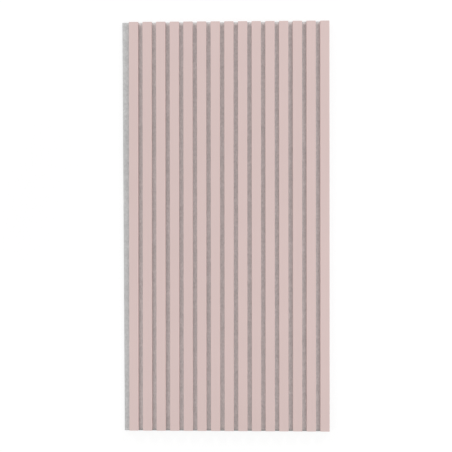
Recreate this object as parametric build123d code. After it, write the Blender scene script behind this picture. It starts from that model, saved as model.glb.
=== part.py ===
from build123d import *
import os

# Slatted acoustic wall panel: MDF slats in a row on a backing board of pressed felt.
# It lies on its back: +Z is the face of the panel, +Y its top end and +X its right edge.
# The origin is on the felt's back, at the middle of the panel's length and greatest width.

# Driving dimensions, in millimetres
SLAT_LENGTH = 1200.0
SLAT_COUNT = 15
SLAT_WIDTH = 27.0
SLAT_THICKNESS = 12.0
SLAT_EDGE_RADIUS = 1.2  # eased long edges of a slat's face
GROOVE_WIDTH = 13.0  # bare felt between two slats
FELT_THICKNESS = 9.0
FELT_PAST_TOP = 1.0  # felt left proud of the slats' sawn ends
FELT_PAST_FOOT = 2.5
TONGUE_AT_TOP = 21.0  # felt past the first slat, where the next panel butts on
TONGUE_AT_FOOT = 16.0  # the tongue's edge is cut out of parallel with the slats

# Places worked out from those
SLAT_PITCH = SLAT_WIDTH + GROOVE_WIDTH
SLATS_WIDTH = SLAT_COUNT * SLAT_PITCH - GROOVE_WIDTH
PANEL_WIDTH = SLATS_WIDTH + max(TONGUE_AT_TOP, TONGUE_AT_FOOT)
RIGHT_EDGE = PANEL_WIDTH / 2
FIRST_SLAT_LEFT = RIGHT_EDGE - SLATS_WIDTH
TOP_END = (SLAT_LENGTH + FELT_PAST_TOP + FELT_PAST_FOOT) / 2
FOOT_END = -TOP_END
SLATS_MIDDLE = TOP_END - FELT_PAST_TOP - SLAT_LENGTH / 2


def felt_backing():
    """Board of pressed felt: flush with the last slat on the right, with a tongue on the left."""
    outline = Polyline(
        (FIRST_SLAT_LEFT - TONGUE_AT_FOOT, FOOT_END),
        (RIGHT_EDGE, FOOT_END),
        (RIGHT_EDGE, TOP_END),
        (FIRST_SLAT_LEFT - TONGUE_AT_TOP, TOP_END),
        close=True,
    )
    return extrude(make_face(outline), FELT_THICKNESS)


def slat_section():
    """Section across a slat, face up: square at the glued back, eased along the two edges of its face."""
    blank = Rectangle(SLAT_WIDTH, SLAT_THICKNESS, align=(Align.MIN, Align.MIN))
    face_corners = blank.vertices().group_by(Axis.Y)[-1]
    return fillet(face_corners, SLAT_EDGE_RADIUS)


def slat(left):
    """One slat, glued to the felt's front, with its left side at the given place."""
    bar = extrude(Plane.XZ * slat_section(), SLAT_LENGTH / 2, both=True)
    return Pos(left, SLATS_MIDDLE, FELT_THICKNESS) * bar


def panel():
    """Every piece of the panel by its name."""
    pieces = {"felt_backing": felt_backing()}
    for place in range(SLAT_COUNT):
        pieces[f"slat_{place + 1:02d}"] = slat(FIRST_SLAT_LEFT + place * SLAT_PITCH)
    return pieces


os.makedirs("parts", exist_ok=True)
for name, piece in panel().items():
    export_step(piece, f"parts/{name}.step")
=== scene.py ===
import math

import bpy
import numpy as np
from mathutils import Matrix, Vector


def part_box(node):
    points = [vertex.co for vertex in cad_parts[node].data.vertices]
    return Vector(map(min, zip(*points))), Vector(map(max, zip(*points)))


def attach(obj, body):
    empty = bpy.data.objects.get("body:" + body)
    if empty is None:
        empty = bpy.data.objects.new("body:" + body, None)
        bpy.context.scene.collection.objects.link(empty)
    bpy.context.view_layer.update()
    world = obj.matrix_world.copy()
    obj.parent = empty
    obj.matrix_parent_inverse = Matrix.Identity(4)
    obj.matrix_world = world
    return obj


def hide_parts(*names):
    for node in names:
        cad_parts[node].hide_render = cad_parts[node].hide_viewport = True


# Looks of a slatted wall panel: pink MDF slats on a board of grey felt, lying face up on a white floor.
# Lengths are in metres, in the frame of the solids: +Z is the face, +Y the top end and +X the right edge.

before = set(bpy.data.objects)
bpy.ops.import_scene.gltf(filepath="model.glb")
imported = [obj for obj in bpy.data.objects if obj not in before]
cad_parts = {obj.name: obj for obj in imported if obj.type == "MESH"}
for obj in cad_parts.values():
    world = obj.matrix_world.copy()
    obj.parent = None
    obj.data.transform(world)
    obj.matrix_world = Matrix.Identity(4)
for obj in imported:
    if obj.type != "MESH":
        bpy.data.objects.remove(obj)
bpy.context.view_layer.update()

# Places read from the solids

MM = 0.001
SLAT_NAMES = sorted(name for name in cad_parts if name.startswith("slat_"))
SLAT_BOXES = [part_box(name) for name in SLAT_NAMES]
FIRST_LOW, FIRST_HIGH = SLAT_BOXES[0]
FIRST_LEFT = FIRST_LOW.x
SLAT_FOOT, SLAT_HEAD = FIRST_LOW.y, FIRST_HIGH.y
SLAT_TOP = FIRST_HIGH.z
SLAT_WIDTH = FIRST_HIGH.x - FIRST_LEFT
SLAT_PITCH = SLAT_BOXES[1][0].x - FIRST_LEFT
GROOVE_WIDTH = SLAT_PITCH - SLAT_WIDTH
GROOVE_LEFTS = [high.x for _, high in SLAT_BOXES[:-1]]
FELT_LOW, FELT_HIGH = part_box("felt_backing")
FELT_TOP = FELT_HIGH.z
HALF_LENGTH = FELT_HIGH.y
TONGUE_TRIM = 0.6 * MM  # at the foot the tongue shown is this much narrower than the solid's
felt_corners = [vertex.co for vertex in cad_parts["felt_backing"].data.vertices]
TONGUE_LEFT_TOP = min(corner.x for corner in felt_corners if corner.y > 0)
TONGUE_LEFT_FOOT = min(corner.x for corner in felt_corners if corner.y < 0) + TONGUE_TRIM


# Node helpers

WHITE = (1.0, 1.0, 1.0, 1.0)
NOISE_SPREAD = 0.2  # most of a noise's values lie this near to a half


def set_inputs(tree, node, inputs):
    """Each input is a number or colour, set on its socket, or another node's output, linked to it."""
    for key, value in inputs.items():
        if isinstance(value, bpy.types.NodeSocket):
            tree.links.new(value, node.inputs[key])
        else:
            node.inputs[key].default_value = value


def add_node(tree, kind, inputs, **settings):
    node = tree.nodes.new(kind)
    for name, value in settings.items():
        setattr(node, name, value)
    set_inputs(tree, node, inputs)
    return node


def maths(tree, operation, a, b=0.0):
    return add_node(tree, "ShaderNodeMath", {0: a, 1: b}, operation=operation).outputs[0]


def product(tree, first, *others):
    """Several numbers multiplied."""
    total = first
    for value in others:
        total = maths(tree, "MULTIPLY", total, value)
    return total


def split(tree, vector):
    """The three numbers of a vector."""
    return add_node(tree, "ShaderNodeSeparateXYZ", {0: vector}).outputs[:]


def noise(tree, vector, scale, detail=2.0, roughness=0.5, distortion=0.0):
    """Noise from 0 to 1; its scale is in cells to the metre."""
    inputs = {"Vector": vector, "Scale": scale, "Detail": detail, "Roughness": roughness}
    inputs["Distortion"] = distortion
    return add_node(tree, "ShaderNodeTexNoise", inputs).outputs["Fac"]


def stretched_noise(tree, vector, scales, turn=0.0, **settings):
    """Noise with a scale of its own along each axis, after a turn about Z."""
    inputs = {"Vector": vector, "Scale": scales, "Rotation": (0.0, 0.0, turn)}
    stretched = add_node(tree, "ShaderNodeMapping", inputs, vector_type="POINT").outputs[0]
    return noise(tree, stretched, 1.0, **settings)


def remap(tree, value, low, high, to_low, to_high):
    inputs = {"Value": value, "From Min": low, "From Max": high, "To Min": to_low, "To Max": to_high}
    return add_node(tree, "ShaderNodeMapRange", inputs).outputs["Result"]


def vary(tree, value, swing, middle=1.0, spread=NOISE_SPREAD):
    """A number that follows a noise, up to a swing above and below its middle."""
    return remap(tree, value, 0.5 - spread, 0.5 + spread, middle - swing, middle + swing)


def mix_colour(tree, factor, a, b):
    return add_node(tree, "ShaderNodeMix", {0: factor, 6: a, 7: b}, data_type="RGBA").outputs[2]


def mix_value(tree, factor, a, b):
    return add_node(tree, "ShaderNodeMix", {0: factor, 2: a, 3: b}, data_type="FLOAT").outputs[0]


def shade(tree, colour, factor):
    """A colour times a number."""
    inputs = {0: colour, "Scale": factor}
    return add_node(tree, "ShaderNodeVectorMath", inputs, operation="SCALE").outputs[0]


def bump(tree, height, distance, strength):
    inputs = {"Height": height, "Distance": distance, "Strength": strength}
    return add_node(tree, "ShaderNodeBump", inputs).outputs[0]


def object_place(tree):
    return add_node(tree, "ShaderNodeTexCoord", {}).outputs["Object"]


def face_normal(tree):
    return add_node(tree, "ShaderNodeNewGeometry", {}).outputs["True Normal"]


def new_material(name):
    material = bpy.data.materials.new(name)
    material.use_nodes = True
    tree = material.node_tree
    return material, tree, tree.nodes["Principled BSDF"]


# Slat material. Scales are in cells to the metre, and swings are shares of the colour.

PINK = (0.679, 0.532, 0.511)
SLAT_SWING = 0.007
CLOUD_SCALE, CLOUD_SWING = 9.0, 0.008
STREAK_SCALES, STREAK_SWING = (420.0, 7.0, 420.0), 0.007
GRAIN_SCALE, GRAIN_SWING = 1100.0, 0.015
EASED_EDGE = 1.4 * MM  # width of the painted highlight along each edge of the face
PAINTED_EDGE_HIGHLIGHT = 0.35
FINISH_THICKNESS = 0.4 * MM
FINISH_ROUGHNESS, FINISH_ROUGHNESS_SWING = 0.61, 0.05
MDF_CORE = (0.49, 0.345, 0.215, 1.0)
MDF_SKIN = (0.36, 0.235, 0.135, 1.0)
MDF_ALL_SKIN, MDF_ALL_CORE = 0.4 * MM, 3.5 * MM  # depths from the face or the back
MDF_ROUGHNESS = 0.9
MDF_FIBRE_SCALES, MDF_FIBRE_SWING = (1700.0, 1700.0, 3600.0), 0.26
SAW_LINE_SCALES, SAW_LINE_SWING = (1300.0, 1.0, 45.0), 0.05
SAWN_END = 0.7  # a face whose normal lies this far along the slat is a sawn end
SLAT_RELIEF = 0.12 * MM


def finish_colour(tree, place, number, grains, highlight_band):
    """Pink with clouds, streaks and grains, a touch different on each slat, and a painted edge highlight.
    """
    chance = add_node(tree, "ShaderNodeTexWhiteNoise", {"W": number}, noise_dimensions="1D")
    tone = vary(tree, chance.outputs["Value"], SLAT_SWING, spread=0.5)
    cloud = vary(tree, noise(tree, place, CLOUD_SCALE), CLOUD_SWING)
    streak = vary(tree, stretched_noise(tree, place, STREAK_SCALES, detail=3.0), STREAK_SWING)
    grain = vary(tree, grains, GRAIN_SWING)
    # Painted highlight along the edges of the face
    painted_highlight = remap(tree, highlight_band, 0.0, 1.0, 1.0, 1.0 + PAINTED_EDGE_HIGHLIGHT)
    return shade(tree, PINK, product(tree, tone, cloud, streak, grain, painted_highlight))


def board_colour(tree, place, packed, depth):
    """Packed fibres, denser and darker towards the face and the back, with faint saw lines."""
    density = remap(tree, depth, MDF_ALL_SKIN, MDF_ALL_CORE, 1.0, 0.0)
    saw_lines = stretched_noise(tree, place, SAW_LINE_SCALES)
    level = product(tree, vary(tree, packed, MDF_FIBRE_SWING), vary(tree, saw_lines, SAW_LINE_SWING))
    return shade(tree, mix_colour(tree, density, MDF_CORE, MDF_SKIN), level)


def slat_material():
    """Matte pink finish on a slat's face and sides, and bare MDF on its sawn ends."""
    material, tree, shader = new_material("pink_slat")
    place = object_place(tree)
    x, _, z = split(tree, place)
    from_first = maths(tree, "SUBTRACT", x, FIRST_LEFT)
    number = maths(tree, "FLOOR", maths(tree, "DIVIDE", from_first, SLAT_PITCH))
    across = maths(tree, "SUBTRACT", from_first, maths(tree, "MULTIPLY", number, SLAT_PITCH))
    from_side = maths(tree, "MINIMUM", across, maths(tree, "SUBTRACT", SLAT_WIDTH, across))
    from_face = maths(tree, "SUBTRACT", SLAT_TOP, z)
    from_back = maths(tree, "SUBTRACT", z, FELT_TOP)

    grains = noise(tree, place, GRAIN_SCALE, detail=3.0, roughness=0.6)
    # Where the face rounds over into a side, a highlight is painted
    near_side = remap(tree, from_side, 0.0, EASED_EDGE, 1.0, 0.0)
    near_face = remap(tree, from_face, 0.0, EASED_EDGE, 1.0, 0.0)
    finish = finish_colour(tree, place, number, grains, product(tree, near_side, near_face))
    packed = stretched_noise(tree, place, MDF_FIBRE_SCALES, detail=4.0, roughness=0.7)
    board = board_colour(tree, place, packed, maths(tree, "MINIMUM", from_face, from_back))

    # On a sawn end the finish shows only as a thin line round the face and the sides
    from_finish = maths(tree, "MINIMUM", from_side, from_face)
    inside = maths(tree, "GREATER_THAN", from_finish, FINISH_THICKNESS)
    normal_y = split(tree, face_normal(tree))[1]
    on_end = maths(tree, "GREATER_THAN", maths(tree, "ABSOLUTE", normal_y), SAWN_END)
    bare = product(tree, on_end, inside)

    finish_roughness = vary(tree, grains, FINISH_ROUGHNESS_SWING, FINISH_ROUGHNESS)
    set_inputs(tree, shader, {
        "Base Color": mix_colour(tree, bare, finish, board),
        "Roughness": mix_value(tree, bare, finish_roughness, MDF_ROUGHNESS),
        "Normal": bump(tree, mix_value(tree, bare, grains, packed), SLAT_RELIEF, strength=0.35),
        "Specular IOR Level": 0.35,
    })
    return material


# Felt materials. Scales are in cells to the metre, and swings are shares of the colour.

FELT_GREY = (0.575, 0.575, 0.573, 1.0)
FELT_PAINTED_BOUNCE = (0.594, 0.552, 0.545, 1.0)  # painted pink light, bounced from the slats onto the felt between them
BOUNCE_BEFORE_SLAT = 2.0 * MM  # the painted bounce starts this far left of the first slat, and is full at its right side
TOP_WITHOUT_BOUNCE = 8.0 * MM  # it comes in over this length from the top end
FOOT_BOUNCE_SPEED = 2.7  # and so many times quicker from the foot
PAINTED_LIGHT_TOP, PAINTED_LIGHT_FROM, PAINTED_LIGHT_TO = 1.15, 7.0 * MM, 13.0 * MM  # painted light at the top end between the slats: level, and distances from the top end
PAINTED_SHADE_FOOT, PAINTED_SHADE_TO = 0.60, 8.0 * MM  # painted shade at the foot between the slats: level, and distance from the foot
FELT_CLOUD_SCALE, FELT_CLOUD_SWING = 42.0, 0.05
BUNCH_SCALE, BUNCH_SWING = 125.0, 0.08
TANGLE = ((0.4, 2100.0), (1.5, 2600.0), (2.5, 1800.0))  # turn about Z, and scale across the fibres
TANGLE_LENGTHWISE = 190.0
TANGLE_SPREAD, TANGLE_SWING = 0.14, 0.20
LAYER_SCALES, LAYER_LEVEL, LAYER_SWING = (70.0, 70.0, 1100.0), 0.98, 0.10
CUT_EDGE = 0.5  # a face whose normal rises less than this is a cut edge
FELT_RELIEF = 0.5 * MM
BUNCH_HEIGHT = 0.5  # of the bunches in the relief, as a share of the fibres'


def felt_tangle(tree, place):
    """Noise drawn out into fibres at three angles, laid over each other."""
    total = 0.0
    for turn, across in TANGLE:
        scales = (across, TANGLE_LENGTHWISE, across)
        total = maths(tree, "ADD", total, stretched_noise(tree, place, scales, turn, distortion=0.4))
    return maths(tree, "DIVIDE", total, len(TANGLE))


def felt_material():
    """Pressed polyester felt: a tangle of fibres that bunch in clouds, with layers on its cut edges."""
    material, tree, shader = new_material("grey_felt")
    place = object_place(tree)
    x, y, _ = split(tree, place)
    bunches = noise(tree, place, BUNCH_SCALE, detail=3.0, roughness=0.55)
    clouds = noise(tree, place, FELT_CLOUD_SCALE, detail=1.0)
    bunch = product(tree, vary(tree, bunches, BUNCH_SWING), vary(tree, clouds, FELT_CLOUD_SWING))
    tangle = felt_tangle(tree, place)
    fibre = vary(tree, tangle, TANGLE_SWING, spread=TANGLE_SPREAD)
    normal_z = split(tree, face_normal(tree))[2]
    on_edge = maths(tree, "LESS_THAN", maths(tree, "ABSOLUTE", normal_z), CUT_EDGE)
    layers = stretched_noise(tree, place, LAYER_SCALES, detail=3.0, roughness=0.6)
    layer = mix_value(tree, on_edge, 1.0, vary(tree, layers, LAYER_SWING, LAYER_LEVEL))

    # Painted pink light bounced from the slats onto the felt between them; the tongue and the ends stay
    # grey
    past_tongue = remap(tree, x, FIRST_LEFT - BOUNCE_BEFORE_SLAT, FIRST_LEFT + SLAT_WIDTH, 0.0, 1.0)
    from_top = maths(tree, "SUBTRACT", HALF_LENGTH, y)
    from_foot = maths(tree, "ADD", HALF_LENGTH, y)
    from_ends = maths(tree, "MINIMUM", from_top, maths(tree, "MULTIPLY", from_foot, FOOT_BOUNCE_SPEED))
    between = product(tree, past_tongue, remap(tree, from_ends, 0.0, TOP_WITHOUT_BOUNCE, 0.0, 1.0))
    grey = mix_colour(tree, between, FELT_GREY, FELT_PAINTED_BOUNCE)

    # Painted light makes the face between the slats paler at its top end, and painted shade darker at its
    # foot
    painted_top_light = remap(tree, from_top, PAINTED_LIGHT_FROM, PAINTED_LIGHT_TO, PAINTED_LIGHT_TOP, 1.0)
    painted_foot_shade = remap(tree, from_foot, 0.0, PAINTED_SHADE_TO, PAINTED_SHADE_FOOT, 1.0)
    on_face = product(tree, past_tongue, maths(tree, "SUBTRACT", 1.0, on_edge))
    ends = mix_value(tree, on_face, 1.0, product(tree, painted_top_light, painted_foot_shade))

    height = maths(tree, "ADD", tangle, maths(tree, "MULTIPLY", bunches, BUNCH_HEIGHT))
    set_inputs(tree, shader, {
        "Base Color": shade(tree, grey, product(tree, bunch, fibre, layer, ends)),
        "Roughness": 0.95,
        "Specular IOR Level": 0.15,
        "Sheen Weight": 0.12,
        "Sheen Roughness": 0.6,
        "Normal": bump(tree, height, FELT_RELIEF, strength=0.6),
    })
    return material


def fibre_material(name, colour):
    """Dyed polyester: a fibre is one colour from end to end, and the mix of shades makes the felt's."""
    material, tree, shader = new_material(name)
    set_inputs(tree, shader, {"Base Color": colour, "Roughness": 0.7, "Specular IOR Level": 0.3})
    return material


# Felt board

FELT_SEED = 11
GRID_ROW = 2.0 * MM
END_ROWS = (0.0, 0.25 * MM, 0.7 * MM, 1.4 * MM, 2.4 * MM, 3.8 * MM)  # from each end
TONGUE_SHARES = (0.0, 0.02, 0.05, 0.1, 0.2, 0.3, 0.4, 0.5, 0.6, 0.7, 0.8, 0.9, 1.0)
GROOVE_CELLS = 8
BULGE, BULGE_REACH = 0.30 * MM, 2.5 * MM  # the bare felt swells, over this distance from a slat
LUMPS, COARSE_LUMP, CLOSE_LUMP, CLOSE_SHARE = 0.16 * MM, 7.0 * MM, 3.2 * MM, 0.6
TONGUE_DROP, TONGUE_REACH = 0.7 * MM, 1.2 * MM
END_DROP, END_REACH = 1.6 * MM, 6.0 * MM
OPEN_REACH = 1.2 * MM  # an edge rounds over only this far or more from a slat
EDGE_LAYERS = 6
SIDE_WAVER, WAVER_CELL, WAVER_SPAN = 0.22 * MM, 4.0 * MM, 20.0 * MM
BACK_INSET = 0.45 * MM


def level_ends(share):
    """A share from 0 to 1, made to start and end level."""
    return share * share * (3 - 2 * share)


class SmoothNoise:
    """Seeded noise over a plane, from about -1 to 1: random heights on a lattice, joined smoothly."""

    LATTICE = 512
    START = 1000.0  # cells from the lattice's corner to the origin; the lattice repeats

    def __init__(self, seed, cell):
        self.cell = cell
        self.heights = np.random.default_rng(seed).uniform(-1.0, 1.0, (self.LATTICE, self.LATTICE))

    def at(self, u, v):
        u, v = u / self.cell + self.START, v / self.cell + self.START
        i, j = np.floor(u).astype(int), np.floor(v).astype(int)
        s, t = level_ends(u - i), level_ends(v - j)
        i0, i1 = i % self.LATTICE, (i + 1) % self.LATTICE
        j0, j1 = j % self.LATTICE, (j + 1) % self.LATTICE
        low = self.heights[i0, j0] * (1 - s) + self.heights[i1, j0] * s
        high = self.heights[i0, j1] * (1 - s) + self.heights[i1, j1] * s
        return low * (1 - t) + high * t


coarse_lumps = SmoothNoise(FELT_SEED, COARSE_LUMP)
close_lumps = SmoothNoise(FELT_SEED + 1, CLOSE_LUMP)
waver = SmoothNoise(FELT_SEED + 2, WAVER_CELL)


def tongue_left(y):
    """The tongue's edge, which runs out of parallel with the slats."""
    share = (y + HALF_LENGTH) / (2 * HALF_LENGTH)
    return TONGUE_LEFT_FOOT + (TONGUE_LEFT_TOP - TONGUE_LEFT_FOOT) * share


def exposure(x, y):
    """How far out from under the slats a place on the felt is, in metres; negative under a slat."""
    out = np.maximum(FIRST_LEFT - x, np.maximum(y - SLAT_HEAD, SLAT_FOOT - y))
    for left in GROOVE_LEFTS:
        out = np.maximum(out, np.minimum(x - left, left + GROOVE_WIDTH - x))
    return out


def rounding(to_edge, drop, reach):
    """How far the felt's face falls as it rounds over an edge."""
    fall = np.clip(1.0 - to_edge / reach, 0.0, 1.0)
    return drop * (1.0 - np.sqrt(1.0 - fall * fall))


def felt_surface(x, y):
    """Height of the felt's face: flat under slats, swollen and lumpy between them, rounded at its edges."""
    out = exposure(x, y)
    lift = level_ends(np.clip(out / BULGE_REACH, 0.0, 1.0))
    lumps = coarse_lumps.at(x, y) + CLOSE_SHARE * close_lumps.at(x, y)
    over_end = rounding(HALF_LENGTH - np.abs(y), END_DROP, END_REACH)
    over_tongue = rounding(x - tongue_left(y), TONGUE_DROP, TONGUE_REACH)
    in_the_open = np.clip(out / OPEN_REACH, 0.0, 1.0)
    return FELT_TOP + lift * (BULGE + LUMPS * lumps) - in_the_open * np.maximum(over_end, over_tongue)


def felt_rows():
    """y of each row of the face's grid: close together at both ends, and GRID_ROW apart between."""
    near, last = np.array(END_ROWS[:-1]), END_ROWS[-1]
    count = round((2 * HALF_LENGTH - 2 * last) / GRID_ROW) + 1
    middle = np.linspace(last - HALF_LENGTH, HALF_LENGTH - last, count)
    return np.concatenate([near - HALF_LENGTH, middle, HALF_LENGTH - near[::-1]])


def felt_face():
    """The face's points, by row and column. The columns lie on the tongue and then in each groove."""
    rows = felt_rows()
    left = tongue_left(rows)[:, None]
    tongue = left + (FIRST_LEFT - left) * np.array(TONGUE_SHARES)
    steps = GROOVE_WIDTH * np.arange(GROOVE_CELLS + 1) / GROOVE_CELLS
    grooves = (np.array(GROOVE_LEFTS)[:, None] + steps).ravel()
    straight = np.append(grooves, FELT_HIGH.x)
    x = np.hstack([tongue, np.tile(straight, (len(rows), 1))])
    y = np.repeat(rows[:, None], x.shape[1], 1)
    return np.stack([x, y, felt_surface(x, y)], -1)


def inward_ways(rim):
    """The way into the board, seen from above, at each point of its rim."""
    x, y = rim[:, 0], rim[:, 1]
    ways = np.zeros((len(rim), 2))
    ways[np.isclose(x, tongue_left(y)), 0] += 1.0
    ways[np.isclose(x, FELT_HIGH.x), 0] -= 1.0
    ways[np.isclose(y, -HALF_LENGTH), 1] += 1.0
    ways[np.isclose(y, HALF_LENGTH), 1] -= 1.0
    return ways


def edge_ring(rim, inward, along, layer):
    """The rim's points moved down to one layer of the cut edge, each a little way in."""
    share = layer / EDGE_LAYERS
    inset = SIDE_WAVER * (0.5 + 0.5 * waver.at(along, np.full(len(rim), share * WAVER_SPAN)))
    if layer == EDGE_LAYERS:
        inset = inset + BACK_INSET
    ring = rim.copy()
    ring[:, :2] += inward * inset[:, None]
    ring[:, 2] *= 1 - share
    return ring


def felt_board():
    """One closed mesh: the face, the cut edges in uneven layers, and the flat back."""
    face = felt_face()
    grid = np.arange(face.shape[0] * face.shape[1]).reshape(face.shape[:2])
    points = [face.reshape(-1, 3)]
    quads = [np.stack([grid[:-1, :-1], grid[:-1, 1:], grid[1:, 1:], grid[1:, :-1]], -1).reshape(-1, 4)]

    above = np.concatenate([grid[0, :-1], grid[:-1, -1], grid[-1, :0:-1], grid[:0:-1, 0]])
    rim = points[0][above]
    inward = inward_ways(rim)
    along = np.concatenate([[0.0], np.cumsum(np.linalg.norm(np.diff(rim, axis=0), axis=1))])
    for layer in range(1, EDGE_LAYERS + 1):
        points.append(edge_ring(rim, inward, along, layer))
        below = np.arange(len(rim)) + grid.size + (layer - 1) * len(rim)
        quads.append(np.stack([above, below, np.roll(below, -1), np.roll(above, -1)], -1))
        above = below
    quads = np.concatenate(quads)
    back = above[::-1]
    mesh = bpy.data.meshes.new("felt_board")
    mesh.from_pydata(np.concatenate(points).tolist(), [], quads.tolist() + [back.tolist()])
    mesh.polygons.foreach_set("use_smooth", [True] * len(quads) + [False])
    mesh.update()
    return bpy.data.objects.new("felt_board", mesh)


# Loose fibres

FIBRE_SHADES = {
    "pale_fibres": (0.70, 0.70, 0.695, 1.0),
    "grey_fibres": (0.52, 0.52, 0.515, 1.0),
    "dark_fibres": (0.33, 0.33, 0.33, 1.0),
}
FIBRE_SEED = 23
FACE_FIBRES = 2000  # of each shade, in the grooves and on the tongue
EDGE_FIBRES = 800  # of each shade, on the cut edges
FIBRE_RINGS = 5
FIBRE_SIDES = 3
FIBRE_RADIUS = 0.045 * MM
FIBRE_TIP = 0.5  # radius at an end, as a share
FIBRE_LENGTHS = (2.5 * MM, 7.0 * MM)
FIBRE_RISE = (0.15 * MM, 0.55 * MM)
FIBRE_BEND = 0.7  # radians, from the middle to an end
FIBRE_CROSS = (0.31, 0.22, 0.92)  # a way that few fibres run in, to set out their sides from
ROOT_DEPTH = 0.12 * MM
WALL_GAP = 0.15 * MM
TINY = 1e-12


def fibre_run(count, random):
    """Places along each fibre: two distances from its middle in the felt's plane, and a height off it."""
    along = np.linspace(-1.0, 1.0, FIBRE_RINGS)
    length = random.uniform(*FIBRE_LENGTHS, (count, 1))
    heading = random.uniform(0.0, 2.0 * math.pi, (count, 1))
    heading = heading + random.normal(0.0, FIBRE_BEND, (count, 1)) * along
    step = length / (FIBRE_RINGS - 1)
    u = np.cumsum(np.cos(heading) * step, 1)
    v = np.cumsum(np.sin(heading) * step, 1)
    rise = random.uniform(*FIBRE_RISE, (count, 1))
    height = (rise + ROOT_DEPTH) * (1.0 - along * along) - ROOT_DEPTH
    return u - u.mean(1, keepdims=True), v - v.mean(1, keepdims=True), height


def face_fibres(count, random):
    """Fibres arched over the bare felt, with both ends rooted in it."""
    grooves = [(left, left + GROOVE_WIDTH) for left in GROOVE_LEFTS]
    strips = np.array([(TONGUE_LEFT_TOP, FIRST_LEFT)] + grooves)
    widths = strips[:, 1] - strips[:, 0]
    strip = random.choice(len(strips), count, p=widths / widths.sum())
    u, v, height = fibre_run(count, random)
    y = random.uniform(-HALF_LENGTH, HALF_LENGTH, (count, 1)) + v
    y = np.clip(y, -HALF_LENGTH + WALL_GAP, HALF_LENGTH - WALL_GAP)
    left = np.where(strip[:, None] == 0, tongue_left(y), strips[strip, 0][:, None]) + WALL_GAP
    right = strips[strip, 1][:, None] - WALL_GAP
    x = np.clip(left + (right - left) * random.uniform(0.0, 1.0, (count, 1)) + u, left, right)
    return np.stack([x, y, felt_surface(x, y) + height], -1)


def edge_fibres(count, random):
    """Fibres that stand a little off the felt's cut edges: left, right, top and foot."""
    u, v, height = fibre_run(count, random)
    z = np.clip(random.uniform(0.0, FELT_TOP, (count, 1)) + v, ROOT_DEPTH, FELT_TOP - END_DROP)
    width, length = FELT_HIGH.x - FELT_LOW.x, 2 * HALF_LENGTH
    sides = np.array([length, length, width, width])
    side = random.choice(len(sides), count, p=sides / sides.sum())[:, None]
    share = random.uniform(-0.5, 0.5, (count, 1))
    y_along = np.clip(share * length + u, -HALF_LENGTH, HALF_LENGTH)
    x_along = np.clip(share * width + u, FELT_LOW.x + SIDE_WAVER, FELT_HIGH.x)
    out = height - SIDE_WAVER
    x = np.select([side == 0, side == 1], [tongue_left(y_along) - out, FELT_HIGH.x + out], x_along)
    y = np.select([side == 2, side == 3], [HALF_LENGTH + out, -HALF_LENGTH - out], y_along)
    return np.stack([x, y, z], -1)


def unit(vectors):
    return vectors / (np.linalg.norm(vectors, axis=2, keepdims=True) + TINY)


def fibres(name, paths):
    """One mesh of thin closed tubes, a tube along each path, tapered to its ends."""
    along = unit(np.gradient(paths, axis=1))
    side = unit(np.cross(along, FIBRE_CROSS))
    up = np.cross(side, along)
    radius = np.full(FIBRE_RINGS, FIBRE_RADIUS)
    radius[[0, -1]] *= FIBRE_TIP
    turns = 2.0 * math.pi * np.arange(FIBRE_SIDES) / FIBRE_SIDES
    spokes = side[:, :, None] * np.cos(turns)[:, None] + up[:, :, None] * np.sin(turns)[:, None]
    points = (paths[:, :, None] + spokes * radius[:, None, None]).reshape(-1, 3)
    index = np.arange(len(points)).reshape(len(paths), FIBRE_RINGS, FIBRE_SIDES)
    beside = np.roll(index, -1, 2)
    walls = np.stack([index[:, :-1], index[:, 1:], beside[:, 1:], beside[:, :-1]], -1).reshape(-1, 4)
    caps = np.concatenate([index[:, 0], index[:, -1, ::-1]])
    mesh = bpy.data.meshes.new(name)
    mesh.from_pydata(points.tolist(), [], walls.tolist() + caps.tolist())
    mesh.update()
    return bpy.data.objects.new(name, mesh)


# The panel's pieces


def show(piece, material):
    piece.data.materials.append(material)
    bpy.context.scene.collection.objects.link(piece)
    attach(piece, "root")


pink_slat = slat_material()
for name in SLAT_NAMES:
    slat_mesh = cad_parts[name].data
    slat_mesh.materials.clear()
    slat_mesh.materials.append(pink_slat)

board = felt_board()
show(board, felt_material())
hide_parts("felt_backing")

fibre_random = np.random.default_rng(FIBRE_SEED)
for name, colour in FIBRE_SHADES.items():
    on_face = face_fibres(FACE_FIBRES, fibre_random)
    on_edges = edge_fibres(EDGE_FIBRES, fibre_random)
    strands = fibres(name, np.concatenate([on_face, on_edges]))
    show(strands, fibre_material(name, colour))


# Floor, light and camera

FLOOR_SIZE = 30.0
FLOOR_DROP = 0.2 * MM
FLOOR_GREY = (0.8, 0.8, 0.8, 1.0)  # to a ray that carries light
PAPER_GREY = (0.25, 0.25, 0.25, 1.0)  # to a seen ray, under the glow
GLOW_NEAR, GLOW_FAR = 0.765, 0.89
NEAR, FAR = 0.62, 2.2


def seen_ray(tree):
    """1 for a ray from the camera, also after a mirror or a pane; 0 for a ray that carries light."""
    path = add_node(tree, "ShaderNodeLightPath", {})
    mirrored = maths(tree, "MAXIMUM", path.outputs["Is Glossy Ray"], path.outputs["Is Transmission Ray"])
    return maths(tree, "MAXIMUM", path.outputs["Is Camera Ray"], mirrored)


def by_ray(tree, lit, seen):
    """One shader for rays that carry light, and another for seen rays."""
    inputs = {0: seen_ray(tree), 1: lit.outputs[0], 2: seen.outputs[0]}
    return add_node(tree, "ShaderNodeMixShader", inputs).outputs[0]


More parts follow.
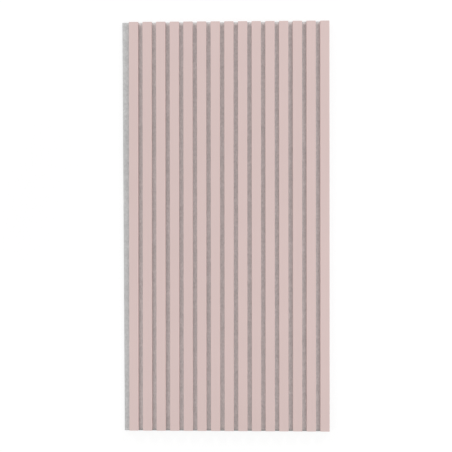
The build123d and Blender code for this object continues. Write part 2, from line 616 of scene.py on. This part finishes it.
def paper_material():
    """White paper, plain matte to a ray that carries light. A seen ray finds a glow added to the light and
    shadow on it, which evens out the lamps' fall away from the panel."""
    material, tree, shader = new_material("floor")
    tree.nodes.remove(shader)
    matte = add_node(tree, "ShaderNodeBsdfDiffuse", {"Color": FLOOR_GREY})
    paper = add_node(tree, "ShaderNodeBsdfDiffuse", {"Color": PAPER_GREY})
    place = object_place(tree)
    away = add_node(tree, "ShaderNodeVectorMath", {0: place}, operation="LENGTH").outputs["Value"]
    strength = remap(tree, away, NEAR, FAR, GLOW_NEAR, GLOW_FAR)
    glow = add_node(tree, "ShaderNodeEmission", {"Color": WHITE, "Strength": strength})
    seen = add_node(tree, "ShaderNodeAddShader", {0: paper.outputs[0], 1: glow.outputs[0]})
    set_inputs(tree, tree.nodes["Material Output"], {"Surface": by_ray(tree, matte, seen)})
    return material


def floor():
    half = FLOOR_SIZE / 2
    corners = [(-half, -half, 0.0), (half, -half, 0.0), (half, half, 0.0), (-half, half, 0.0)]
    mesh = bpy.data.meshes.new("floor")
    mesh.from_pydata(corners, [], [(0, 1, 2, 3)])
    mesh.materials.append(paper_material())
    piece = bpy.data.objects.new("floor", mesh)
    piece.location.z = -FLOOR_DROP
    bpy.context.scene.collection.objects.link(piece)


DOME_LEVEL = 1.15
DOME_POWER = 2.0
DOME_TOWARDS_TOP = 0.35


def dome():
    """Soft light, stronger overhead and from the panel's top end; white where it is seen."""
    world = bpy.data.worlds.new("dome")
    world.use_nodes = True
    bpy.context.scene.world = world
    tree = world.node_tree
    _, y, z = split(tree, add_node(tree, "ShaderNodeTexCoord", {}).outputs["Generated"])
    overhead = maths(tree, "POWER", maths(tree, "MAXIMUM", z, 0.0), DOME_POWER)
    from_top = remap(tree, y, -1.0, 1.0, 1.0 - DOME_TOWARDS_TOP, 1.0 + DOME_TOWARDS_TOP)
    light = tree.nodes["Background"]
    set_inputs(tree, light, {"Color": WHITE, "Strength": product(tree, overhead, from_top, DOME_LEVEL)})
    white = add_node(tree, "ShaderNodeBackground", {"Color": WHITE, "Strength": 1.0})
    set_inputs(tree, tree.nodes["World Output"], {"Surface": by_ray(tree, light, white)})


SIDE_SIZE, CORNER_SIZE = (0.5, 0.8), (0.5, 0.5)
SOFTBOXES = (  # name, place, size and watts
    ("side_left", (-0.8, -0.7, 1.0), SIDE_SIZE, 3.0),
    ("side_right", (0.8, -0.7, 1.0), SIDE_SIZE, 1.45),
    ("far_right", (1.3, -0.3, 1.1), SIDE_SIZE, 3.8),
    ("corner_left", (-1.3, 1.8, 1.2), CORNER_SIZE, 12.0),
    ("corner_right", (1.3, 1.8, 1.2), CORNER_SIZE, 12.2),
)


def softbox(name, place, size, watts):
    """A lamp with a rectangular face, turned towards the panel's middle."""
    lamp = bpy.data.lights.new(name, "AREA")
    lamp.shape = "RECTANGLE"
    lamp.size, lamp.size_y = size
    lamp.energy = watts
    piece = bpy.data.objects.new(name, lamp)
    piece.location = place
    piece.rotation_euler = (-Vector(place)).to_track_quat("-Z", "Y").to_euler()
    piece.visible_camera = False
    bpy.context.scene.collection.objects.link(piece)


CAMERA_PLACE = (53.5 * MM, 8.6 * MM, 2259.0 * MM)
CAMERA_TURNS = (0.176, -1.330, 0.053)  # degrees about X, Y and Z, from looking straight down with +Y up
CAMERA_LENS, SENSOR_WIDTH = 60.90, 36.0  # millimetres, as Blender takes them


def camera():
    lens = bpy.data.cameras.new("camera")
    lens.sensor_fit = "HORIZONTAL"
    lens.sensor_width = SENSOR_WIDTH
    lens.lens = CAMERA_LENS
    piece = bpy.data.objects.new("camera", lens)
    x, y, z = (math.radians(turn) for turn in CAMERA_TURNS)
    into_camera = Matrix.Rotation(z, 3, "Z") @ Matrix.Rotation(y, 3, "Y") @ Matrix.Rotation(x, 3, "X")
    piece.matrix_world = Matrix.Translation(CAMERA_PLACE) @ into_camera.transposed().to_4x4()
    bpy.context.scene.collection.objects.link(piece)
    bpy.context.scene.camera = piece


floor()
dome()
for lamp in SOFTBOXES:
    softbox(*lamp)
camera()
bpy.context.scene.view_settings.view_transform = "Standard"
